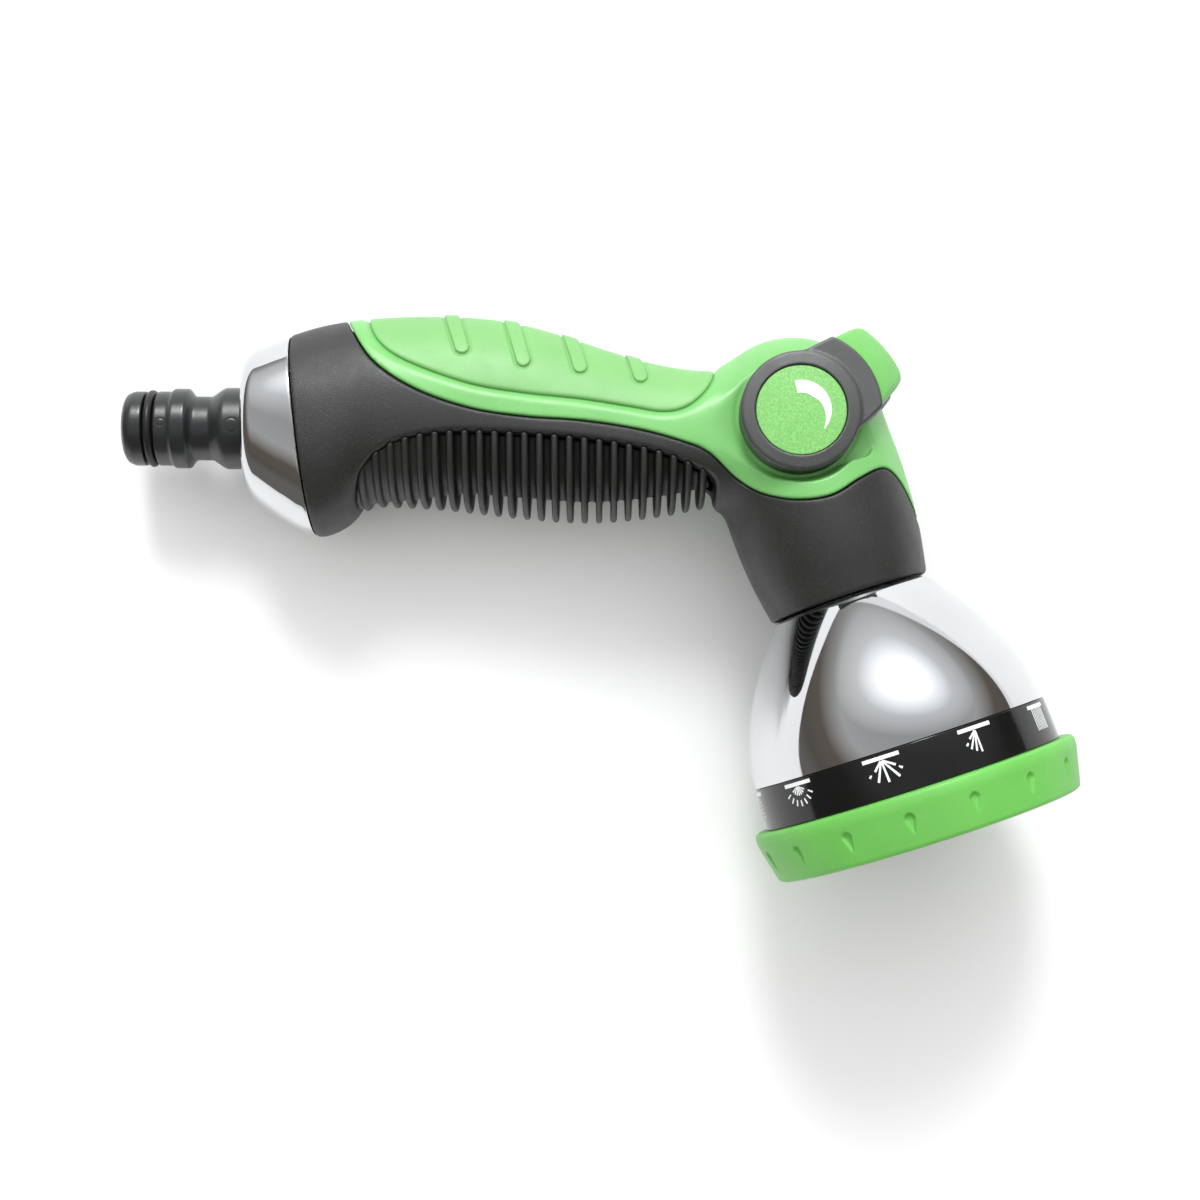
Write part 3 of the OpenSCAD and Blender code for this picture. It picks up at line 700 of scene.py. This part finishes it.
def make_pad():
    """The soft palm pad with its four raised bars."""
    b = Block((50, -3, 0), (135, 27, 20), FINE_STEP)
    form = handle_field(b)
    ends = [outline_distance(b.x[:, :, 0], b.y[:, :, 0], np.array([a, c, a], float))
            for a, c in BARS]
    bar = np.minimum.reduce([np.abs(e) for e in ends])[:, :, None] - BAR_R
    raised = cut(form - BAR_H, bar, 0.5)
    pad = join(form, raised, 0.2)
    groove_at, groove_half, groove_depth = 0.1, 0.22, 0.35
    groove = cut(np.abs(bar - groove_at) - groove_half, -(form + groove_depth), 0.2)
    pad = cut(pad, -groove, 0.3)
    pad = cut(pad, pad_zone(b), 0.9)
    pad = cut(pad, -(form + PAD_T), 0.3)
    return dress(moulded("palm_rest", b, pad, SOFT_GREEN), "nozzle_body", "green_soft",
                 "palm_pad")


FIN_X0 = 53.5
FIN_PITCH = 3.2
FIN_COUNT = 24
FIN_HALF = 0.72
FIN_DEPTH = [(50, 0.8), (56, 1.2), (62, 1.8), (68, 3.0), (75, 4.4), (82, 4.7), (131, 4.7)]
GRIP_IN = 7.0


def make_grip():
    """The finger grip: a core with fins across it."""
    b = Block((50.5, -23, 0), (131.5, -2, 18.5), FINE_STEP)
    form = handle_field(b)
    place = (b.x - FIN_X0) / FIN_PITCH
    nearest = np.clip(np.round(place), 0, FIN_COUNT - 1)
    fins = cut(form, np.abs(b.x - FIN_X0 - nearest * FIN_PITCH) - FIN_HALF, 0.9)
    core = form + smooth_at(b.x, FIN_DEPTH)
    comb = join(core, fins, 0.7)
    comb = cut(comb, grip_zone(b), 0.3)
    comb = cut(comb, -(form + GRIP_IN), 0.3)
    return dress(moulded("comb", b, comb, GRIP), "nozzle_body", "grip_black", "finger_grip")


def make_collar():
    """The chrome collar round the foot of the grip."""
    b = Block((25, -26, 0), (44, 23, 19.5), FINE_STEP)
    form = handle_field(b)
    collar = cut(form, collar_zone(b) + 0.15, 0.4)
    collar = cut(collar, -(form + COLLAR_T), 0.3)
    collar = cut(collar, COLLAR_HOLE_R - b.tail_r, 0.6)
    return dress(moulded("collar", b, collar, CHROME), "nozzle_body", "chrome", "end_collar")


# ---------- tail ----------

def make_tail():
    """The black hose tail, with two pressed marks, and its O-ring."""
    profile = [(4.5, 0.0), (6.4, 0.0), (7.6, 0.7), (8.2, 2.1), (8.2, 4.6), (6.7, 4.7), (6.7, 7.2),
               (8.2, 7.3), (8.2, 10.4), (8.8, 11.0), (8.8, 14.1), (7.4, 15.1), (7.05, 15.7),
               (7.05, 19.3), (8.6, 21.5), (9.0, 22.4), (9.0, 28.6), (8.0, 28.6), (8.0, 41.0),
               (4.5, 41.0)]
    marks = [(9.0, 0.85, 200), (24.6, 1.5, 205)]

    def pressed(p):
        """Round ejector marks, a shallow ring each, on the side that faces up."""
        angle = np.degrees(np.arctan2(p[:, 1], p[:, 0]))
        reach = np.hypot(p[:, 0], p[:, 1])
        for along, r, where in marks:
            turn = np.abs((angle - where + 110 + 180) % 360 - 180)
            off = np.hypot(p[:, 2] - along, np.radians(turn) * reach)
            ring = np.exp(-((off - r) / 0.16) ** 2) * (reach > 7.5)
            p[:, :2] *= (1 - 0.09 * ring / np.maximum(reach, 1))[:, None]
        return p

    dense = rounded(profile, 0.35, 3)
    steps = []
    for a, c in zip(dense, dense[1:]):
        n = max(1, int(np.linalg.norm(c - a) / 0.25))
        steps += [a + (c - a) * t for t in np.arange(n) / n]
    tail = turned("tail", np.array(steps + [dense[-1]])[::-1], on_tail, TAIL, shape=pressed,
                  sides=LATHE_SIDES * 2)
    dress(tail, "nozzle_body", "tail_black", "hose_tail")
    ring = [(7.6 + 0.9 * math.cos(a), 5.95 + 0.9 * math.sin(a))
            for a in np.linspace(0, 2 * math.pi, 28, endpoint=False)]
    dress(turned("tail_ring", ring[::-1], on_tail, RUBBER), "nozzle_body", "rubber_black",
          "tail_o_ring")


# ---------- lever ----------

HUB_R = 12.8
HUB_TOP = 22.9
BAND_R0 = 21.2
BAND_R1 = 22.8
ARM_R = 17.3
ARM_Z = 20.5
ARM_TOP = HUB_TOP - 0.7
CROWN_SLOPE = 0.12
SPINDLE_R = 4.0
SCREW_ROOM_R = 4.6
SCREW_ROOM_Z = 20.4
THUMB_R = 26.8
CAP_R = 9.6
CAP_GAP = 0.12
CAP_Z0 = 21.3
CAP_TOP = 22.5


def band_outline(grow):
    """Outline of the band over the dome, about the pivot, seen from the side."""
    low, high = np.array([0.77, -0.64]) * grow, np.array([-0.6, 0.8]) * grow
    points = [np.array([4, 2])]
    points += [np.array(p) + low for p in [(12.3, -3.8), (16.9, 0.5), (22, 6.7), (23.8, 9.3),
                                           (24.6, 12.0), (30, 14)]]
    points += [np.array([45, 30])]
    points += [np.array(p) + high for p in [(14.6, 22), (6.3, 15.7)]]
    return np.array(points + [np.array([0.1, 12.6])]) + [PIVOT_X, 0]


lever_block = Block((PIVOT_X - 16, -16, 0), (PIVOT_X + 30, 30, 25), FINE_STEP)


def make_lever():
    """The black yoke, and the thumb pad on its band."""
    b = lever_block
    outline = zone(b, band_outline(0.0))
    plate = cut(cut(b.dome_r - BAND_R1, BAND_R0 - b.dome_r, 0.3), outline, 0.4)
    arm = cut(b.pivot_r - ARM_R, outline, 0.4)
    arm = cut(cut(arm, ARM_Z - b.z, 0.3), b.z - ARM_TOP, 0.5)
    crown = b.z - HUB_TOP + CROWN_SLOPE * np.maximum(b.pivot_r - CAP_R, 0)
    hub = cut(cut(b.pivot_r - HUB_R, crown, 0.7), POCKET_Z + 0.3 - b.z, 0.3)
    yoke = join(join(hub, arm, 0.5), plate, 0.6)
    seat = cut(b.pivot_r - CAP_R - CAP_GAP, CAP_Z0 - b.z, 0.2)
    yoke = cut(yoke, -seat, 0.2)
    yoke = cut(yoke, -cut(b.pivot_r - SCREW_ROOM_R, SCREW_ROOM_Z - b.z, 0.2), 0.2)
    yoke = cut(yoke, SPINDLE_R - b.pivot_r, 0.2)
    dress(moulded("yoke", b, yoke, LEVER), "lever", "lever_black", "valve_lever")
    pad = cut(cut(b.dome_r - THUMB_R, BAND_R1 - b.dome_r, 0.3), zone(b, band_outline(-0.3)), 1.6)
    pad = cut(pad, b.z - ARM_Z + 0.05, 0.5)
    pad = cut(pad, HUB_R + 0.05 - b.pivot_r, 0.1)
    dress(moulded("thumb_rest", b, pad, THUMB), "lever", "green_soft", "thumb_pad")


def both_sides(points, faces):
    """The piece and its mirror image across z = 0."""
    p = np.asarray(points, float)
    count = len(p)
    other = [tuple(count + i for i in reversed(f)) for f in faces]
    return np.concatenate([p, p * [1, 1, -1]]), [tuple(f) for f in faces] + other


def make_caps():
    """The green discs in the hub rings."""
    profile = rounded([(0.01, CAP_Z0), (CAP_R, CAP_Z0), (CAP_R, CAP_TOP), (0.01, CAP_TOP + 0.12)],
                      0.3)
    points, quads = lathe(profile, LATHE_SIDES)
    points, faces = both_sides(points, quads.tolist())
    mesh = mesh_of("caps", at_pivot(points), faces, sharp=40)
    dress(new_object("caps", mesh, CAP), "lever", "cap_green", "lever_caps")


def make_marks():
    """White crescents: thick and blunt at one end, tapering round to a point."""
    outer = 6.35
    start, end = 103, -42
    top, bottom = CAP_TOP + 0.16, CAP_TOP - 0.2
    steps = 48
    rows = []
    for a in np.linspace(start, end, steps):
        share = (a - end) / (start - end)
        width = 2.7 * min(1.0, 1.6 * share) ** 0.8 + 0.05
        turn = math.radians(a)
        for r, z in ((outer, bottom), (outer, top), (outer - width, top), (outer - width, bottom)):
            rows.append((r * math.cos(turn), r * math.sin(turn), z))
    faces = []
    for i in range(steps - 1):
        for j in range(4):
            k = (j + 1) % 4
            faces.append((i * 4 + j, i * 4 + k, i * 4 + 4 + k, i * 4 + 4 + j))
    last = 4 * (steps - 1)
    faces += [(3, 2, 1, 0), (last, last + 1, last + 2, last + 3)]
    points, faces = both_sides(rows, faces)
    mesh = mesh_of("marks", at_pivot(points), faces, sharp=30)
    dress(new_object("marks", mesh, WHITE), "lever", "mark_white", "flow_marks")


# ---------- head ----------

BELL_U0, BELL_U1 = 40.4, 73.1
BELL_WALL = 2.0
BELL_LEVEL_U = 74.0
BELL_SWELL = 0.0217
BELL_POWER = 1.87
HUB_U1 = 50.0
BORE_R = 10.05
DIAL_U0, DIAL_U1 = 73.25, 82.5
DIAL_R0, DIAL_R1 = 32.7, 33.2
DIAL_IN = 30.2
BUMPER_R = 36.2
FRONT_U = 94.0
FACE_U = 89.5


def bell_radius(u):
    """Outer radius of the bell at u along the head."""
    return DIAL_R0 - BELL_SWELL * (BELL_LEVEL_U - u) ** BELL_POWER


def make_bell():
    """The chrome bell, with the bore of its hub."""
    outer = [(bell_radius(u), u) for u in np.linspace(BELL_U0, BELL_U1, 90)]
    inside = [(bell_radius(u) - BELL_WALL, u) for u in np.linspace(BELL_U1, HUB_U1 + 1, 24)]
    profile = np.concatenate([
        [(BORE_R, 41.5), (BORE_R, 40.9), (BORE_R + 0.5, 40.4), (16.6, 40.4)], outer, inside,
        [(BORE_R, HUB_U1)],
    ])
    dress(turned("bell_cup", profile[::-1], on_head, CHROME, sides=LATHE_SIDES * 2, sharp=35),
          "dial", "chrome", "bell")


def dial_radius(u):
    """Outer radius of the dial ring at u along the head."""
    return DIAL_R0 + (DIAL_R1 - DIAL_R0) * (u - DIAL_U0) / (DIAL_U1 - DIAL_U0)


def make_dial():
    """The gloss black dial ring."""
    profile = rounded([(DIAL_IN, DIAL_U0), (DIAL_R0, DIAL_U0), (DIAL_R1, DIAL_U1),
                       (DIAL_IN, DIAL_U1), (DIAL_IN, DIAL_U0 + 1)], 0.25)
    dress(turned("dial_band", profile[::-1], on_head, DIAL, sides=LATHE_SIDES * 2), "dial",
          "dial_black", "dial_ring")


FIRST_ICON = 106.0
ICON_PITCH = 36.0
ICON_TOP = 0.65
INLAY = 0.05


def stroke(a, b, width, width_end=None):
    """A straight mark between two points on the dial, as (round the ring, towards the front)."""
    return (np.array(a, float), np.array(b, float), width, width_end or width)


def ray(angle, start, end, width=0.3, width_end=0.5):
    """A mark that points away from the middle of the bar."""
    turn = math.radians(angle)
    way = np.array([math.sin(turn), math.cos(turn)])
    middle = np.array([0.0, ICON_TOP + 0.85])
    return stroke(middle + way * start, middle + way * end, width, width_end)


def icon_strokes(kind):
    """One generic spray sign: a bar for the nozzle and marks for the water."""
    marks = [stroke((-3.9, ICON_TOP + 0.4), (3.9, ICON_TOP + 0.4), 0.8)]
    under = ICON_TOP + 0.8
    if kind == "shower":
        marks += [ray(a, 0.2, 2.0, 0.1, 0.36) for a in np.linspace(-60, 60, 7)]
        marks += [ray(a, 3.0, 4.3, 0.3, 0.36) for a in np.linspace(-62, 62, 7)]
    elif kind == "fan":
        marks += [ray(a, 0.2, reach, 0.35, 0.5)
                  for a, reach in ((-44, 2.7), (-23, 4.6), (4, 4.7), (33, 5.0), (56, 3.1))]
        marks += [ray(-49, 3.7, 4.4), ray(54, 3.8, 4.6)]
    elif kind == "cone":
        marks += [ray(a, 0.2, reach, 0.3, 0.42)
                  for a, reach in ((-50, 2.4), (-31, 4.2), (-15, 4.4), (0, 4.7))]
        marks.append(ray(-47, 3.3, 4.0))
    elif kind == "comb":
        marks += [stroke((x, under), (x, under + 4.7), 0.22) for x in 0.7 * (np.arange(8) - 3.5)]
    elif kind == "jet":
        marks += [stroke((0, under), (0, under + 4.8), 0.9, 0.5)]
    elif kind == "soaker":
        marks += [stroke((x, under + 0.4), (x, under + 4.4), 0.7) for x in (-1.6, 0, 1.6)]
    elif kind == "mist":
        marks += [stroke((x + 0.4 * (row % 2), y), (x + 0.4 * (row % 2) + 0.3, y), 0.3)
                  for row, y in enumerate(under + 0.6 + 0.8 * np.arange(6))
                  for x in 0.8 * np.arange(-1 - row // 2, 2 + row // 2)]
    elif kind == "flat":
        marks += [ray(a, 0.2, 4.6, 0.4, 0.4) for a in (-50, 50)]
        marks.append(stroke((-3.4, under + 3.2), (3.4, under + 3.2), 0.5))
    elif kind == "angle":
        marks += [ray(a, 0.3, 4.8) for a in (20, 34, 48)]
    elif kind == "centre":
        marks += [ray(a, 1.8, 4.6) for a in (-16, 0, 16)]
        marks.append(stroke((-0.5, under + 0.6), (0.5, under + 0.6), 0.9))
    return marks


ICONS = ["fan", "shower", "mist", "jet", "flat", "angle", "soaker", "centre", "comb", "cone"]


def make_icons():
    """The ten signs, laid on the dial ring's curve."""
    points, faces = [], []
    for number, kind in enumerate(ICONS):
        middle = FIRST_ICON + number * ICON_PITCH
        for a, b, width, width_end in icon_strokes(kind):
            length = np.linalg.norm(b - a)
            across = np.array([-(b - a)[1], (b - a)[0]]) / length
            parts = max(1, int(abs(b[0] - a[0]) / 0.8))
            first = len(points)
            for t in np.linspace(0, 1, parts + 1):
                half = (width + (width_end - width) * t) / 2
                for side, lift in ((-1, -0.2), (-1, INLAY), (1, INLAY), (1, -0.2)):
                    s, along = a + (b - a) * t + across * side * half
                    u = DIAL_U0 + along
                    r = dial_radius(u) + lift
                    turn = math.radians(middle) - s / DIAL_R0
                    points.append((r * math.cos(turn), r * math.sin(turn), u))
            for i in range(parts):
                for j in range(4):
                    k, start = (j + 1) % 4, first + i * 4
                    faces.append((start + j, start + 4 + j, start + 4 + k, start + k))
            end = first + parts * 4
            faces += [(first, first + 1, first + 2, first + 3), (end + 3, end + 2, end + 1, end)]
    mesh = mesh_of("icons", on_head(points), faces, sharp=20)
    dress(new_object("icons", mesh, WHITE), "dial", "mark_white", "dial_icons")


DIMPLES = 16
DIMPLE_START = 12.5
DIMPLE_U0 = DIAL_U1 + 4.0
DIMPLE_LENGTH = 5.2
DIMPLE_HALF = 1.2
DIMPLE_DEPTH = 0.75


def dimpled(p):
    """Presses the teardrops into the bumper's outer band."""
    angle = np.arctan2(p[:, 1], p[:, 0])
    reach = np.hypot(p[:, 0], p[:, 1])
    pitch = 2 * math.pi / DIMPLES
    turn = (angle - math.radians(DIMPLE_START) + pitch / 2) % pitch - pitch / 2
    s = turn * reach
    along = (p[:, 2] - DIMPLE_U0) / DIMPLE_LENGTH
    head = DIMPLE_HALF / DIMPLE_LENGTH
    half = np.where(
        along < head,
        DIMPLE_HALF * np.sqrt(np.clip(1 - ((along - head) / head) ** 2, 0, 1)),
        DIMPLE_HALF * np.clip((1 - along) / (1 - head), 0, 1),
    )
    inside = np.clip((half - np.abs(s)) / 0.45, 0, 1) * (along > 0) * (along < 1) * (reach > 33.6)
    depth = DIMPLE_DEPTH * (inside * inside * (3 - 2 * inside)) * np.clip(1.25 - along, 0, 1)
    p[:, :2] *= (1 - depth / reach)[:, None]
    return p


def make_bumper():
    """The green bumper, with its teardrop dimples."""
    corner = rounded([(DIAL_R1 - 0.3, DIAL_U1 + 0.05), (BUMPER_R - 0.25, DIAL_U1 + 0.05),
                      (BUMPER_R, DIAL_U1 + 2.2), (BUMPER_R - 2.2, FRONT_U),
                      (31.6, FRONT_U), (DIAL_IN + 0.8, FACE_U + 0.6),
                      (DIAL_IN + 0.8, DIAL_U1 + 0.05)], 1.5, 8)
    profile = []
    for a, b in zip(corner, np.roll(corner, -1, axis=0)):
        fine = 0.25 if min(a[0], b[0]) > 33.5 else 1.0
        n = max(1, int(np.linalg.norm(b - a) / fine))
        profile += [a + (b - a) * t for t in np.arange(n) / n]
    dress(turned("bumper_ring", np.array(profile)[::-1], on_head, BUMPER,
                 sides=900, shape=dimpled, sharp=60),
          "dial", "bumper_green", "bumper")


make_shell()
make_cover()
make_pad()
make_grip()
make_collar()
make_tail()
make_lever()
make_caps()
make_marks()
make_bell()
make_dial()
make_icons()
make_bumper()


# ---------- studio ----------

def resting_plane():
    """The plane that the nozzle lies on: it touches the bumper, the grip's foot and the hub."""
    def low(node, x, y):
        return np.array([x, y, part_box(node)[0].z / MM])

    bumper_u = DIAL_U1 + 1.5
    foot_x = 47.0
    bumper_at = PIVOT_X + HEAD_AXIS[0] * bumper_u, HEAD_AXIS[1] * bumper_u
    bumper = low("bumper", *bumper_at)
    foot = low("handle_shell", foot_x, 0.0)
    foot[2] = -half_width_at(foot_x)
    hub = low("valve_lever", PIVOT_X, HUB_R - 1.0)
    normal = np.cross(bumper - foot, hub - foot)
    normal /= np.linalg.norm(normal)
    return foot, normal * np.sign(normal[2])


def half_width_at(x):
    """Half of the grip's thickness at x."""
    return float(smooth_at(np.array([x]), HALF_WIDTH)[0])


def make_floor():
    """A pale floor in the plane that the nozzle lies on."""
    point, normal = resting_plane()
    size = 900.0
    along = np.cross([0, 1.0, 0], normal)
    along /= np.linalg.norm(along)
    across = np.cross(normal, along)
    middle = point + along * 60 - normal * 0.3
    corners = [middle + along * size * i + across * size * j
               for i, j in ((-1, -1), (1, -1), (1, 1), (-1, 1))]
    s = Shade("floor")
    color = s.mix(s.noise(60, 3), (0.90, 0.905, 0.91, 1), (0.93, 0.933, 0.937, 1))
    material = s.finish(color, s.ramp(s.noise(20, 3), 0.3, 0.7, 0.75, 0.85))
    floor = new_object("floor", mesh_of("floor", np.array(corners), [(0, 1, 2, 3)]), material)


LIGHT_PEAK = 5.0
LIGHT_WAY = Vector((-0.04, 0.70, 0.713)).normalized()
PAPER = (1.0, 1.01, 1.02, 1.0)


class Sky:
    """Small helper round the world's node tree: sums of what lies in a direction."""

    def __init__(self):
        world = bpy.data.worlds.new("studio")
        bpy.context.scene.world = world
        world.use_nodes = True
        self.tree = world.node_tree
        self.background = self.tree.nodes["Background"]
        self.way = self.tree.nodes.new("ShaderNodeTexCoord").outputs["Generated"]

    def set(self, slot, value):
        if isinstance(value, (int, float, tuple)):
            slot.default_value = value
        else:
            self.tree.links.new(value, slot)

    def dot(self, direction):
        node = self.tree.nodes.new("ShaderNodeVectorMath")
        node.operation = "DOT_PRODUCT"
        self.tree.links.new(self.way, node.inputs[0])
        node.inputs[1].default_value = direction
        return node.outputs["Value"]

    def calc(self, kind, a, b):
        node = self.tree.nodes.new("ShaderNodeMath")
        node.operation = kind
        self.set(node.inputs[0], a)
        self.set(node.inputs[1], b)
        return node.outputs[0]

    def ramp(self, source, stops):
        node = self.tree.nodes.new("ShaderNodeValToRGB")
        self.tree.links.new(source, node.inputs["Fac"])
        elements = node.color_ramp.elements
        while len(elements) < len(stops):
            elements.new(0.5)
        for element, (place, color) in zip(elements, stops):
            element.position = place
            element.color = (*color, 1)
        return node.outputs["Color"]

    def blend(self, kind, factor, a, b):
        node = self.tree.nodes.new("ShaderNodeMix")
        node.data_type = "RGBA"
        node.blend_type = kind
        self.set(node.inputs[0], factor)
        self.set(node.inputs[6], a)
        self.set(node.inputs[7], b)
        return node.outputs[2]

    def brighten(self, color, gain):
        node = self.tree.nodes.new("ShaderNodeVectorMath")
        node.operation = "SCALE"
        self.tree.links.new(color, node.inputs[0])
        node.inputs["Scale"].default_value = gain
        return node.outputs[0]


def make_world():
    """A grey room with a broad soft light on the +Y side, and white paper up to the horizon."""
    sky = Sky()
    upright = LIGHT_WAY.cross(Vector((1, 0, 0))).normalized()
    sideways = sky.calc("DIVIDE", sky.dot((1, 0, 0)), 0.62)
    steep = sky.calc("DIVIDE", sky.dot(upright), 0.42)
    off = sky.calc("ADD", sky.calc("MULTIPLY", sideways, sideways),
                   sky.calc("MULTIPLY", steep, steep))
    facing = sky.calc("MAXIMUM", sky.dot(LIGHT_WAY), 0.05)
    spread = sky.calc("DIVIDE", sky.calc("POWER", off, 0.5), facing)
    soft = sky.ramp(sky.calc("MULTIPLY", spread, 0.5), [
        (0.0, (1.0, 1.0, 1.0)), (0.12, (0.62, 0.63, 0.64)), (0.27, (0.21, 0.214, 0.218)),
        (0.50, (0.07, 0.072, 0.073)), (0.90, (0.0, 0.0, 0.0))])
    room = sky.ramp(sky.dot((0, 0.5, 0.866)), [
        (0.0, (0.16, 0.15, 0.14)), (0.18, (0.115, 0.105, 0.09)), (0.42, (0.14, 0.12, 0.10)),
        (0.66, (0.46, 0.46, 0.455)), (1.0, (0.36, 0.365, 0.37))])
    back = sky.calc("POWER", sky.calc("MAXIMUM", sky.dot((0, 1, 0)), 0.0), 4.0)
    above = sky.calc("SUBTRACT", sky.dot((0, 0, 1)), sky.calc("MULTIPLY", back, 0.17))
    paper = sky.ramp(sky.calc("ADD", above, 0.5), [(0.49, (1, 1, 1)), (0.505, (0, 0, 0))])
    room = sky.blend("MIX", paper, room, PAPER)
    light = sky.blend("ADD", 1.0, room, sky.brighten(soft, LIGHT_PEAK))
    sky.tree.links.new(light, sky.background.inputs["Color"])
    sky.background.inputs["Strength"].default_value = 1.0


def make_sun(name, way, spread_degrees, strength, mirrored):
    """A soft light from one direction; mirrored tells if it shows in shiny surfaces."""
    data = bpy.data.lights.new(name, "SUN")
    data.angle = math.radians(spread_degrees)
    data.energy = strength
    lamp = bpy.data.objects.new(name, data)
    bpy.context.scene.collection.objects.link(lamp)
    lamp.rotation_euler = (-Vector(way)).to_track_quat("-Z", "Y").to_euler()
    lamp.visible_glossy = mirrored


CAMERA_TARGET = (104.88, -38.19, 0.0)
CAMERA_PLACE = (104.88, -81.32, 447.93)
CAMERA_VIEW = 32.7


def make_camera():
    """The camera, over the +Z side."""
    data = bpy.data.cameras.new("camera")
    data.sensor_fit = "HORIZONTAL"
    data.angle = math.radians(CAMERA_VIEW)
    data.clip_start = 0.01
    data.clip_end = 20.0
    camera = bpy.data.objects.new("camera", data)
    bpy.context.scene.collection.objects.link(camera)
    camera.location = Vector(CAMERA_PLACE) * MM
    way = Vector(CAMERA_TARGET) - Vector(CAMERA_PLACE)
    camera.rotation_euler = way.to_track_quat("-Z", "Y").to_euler()
    bpy.context.scene.camera = camera


make_floor()
make_world()
make_sun("overhead", (0, 0.1, 1), 110, 1.85, False)
make_sun("side", LIGHT_WAY, 16, 1.55, True)
make_camera()
bpy.context.scene.view_settings.view_transform = "Standard"
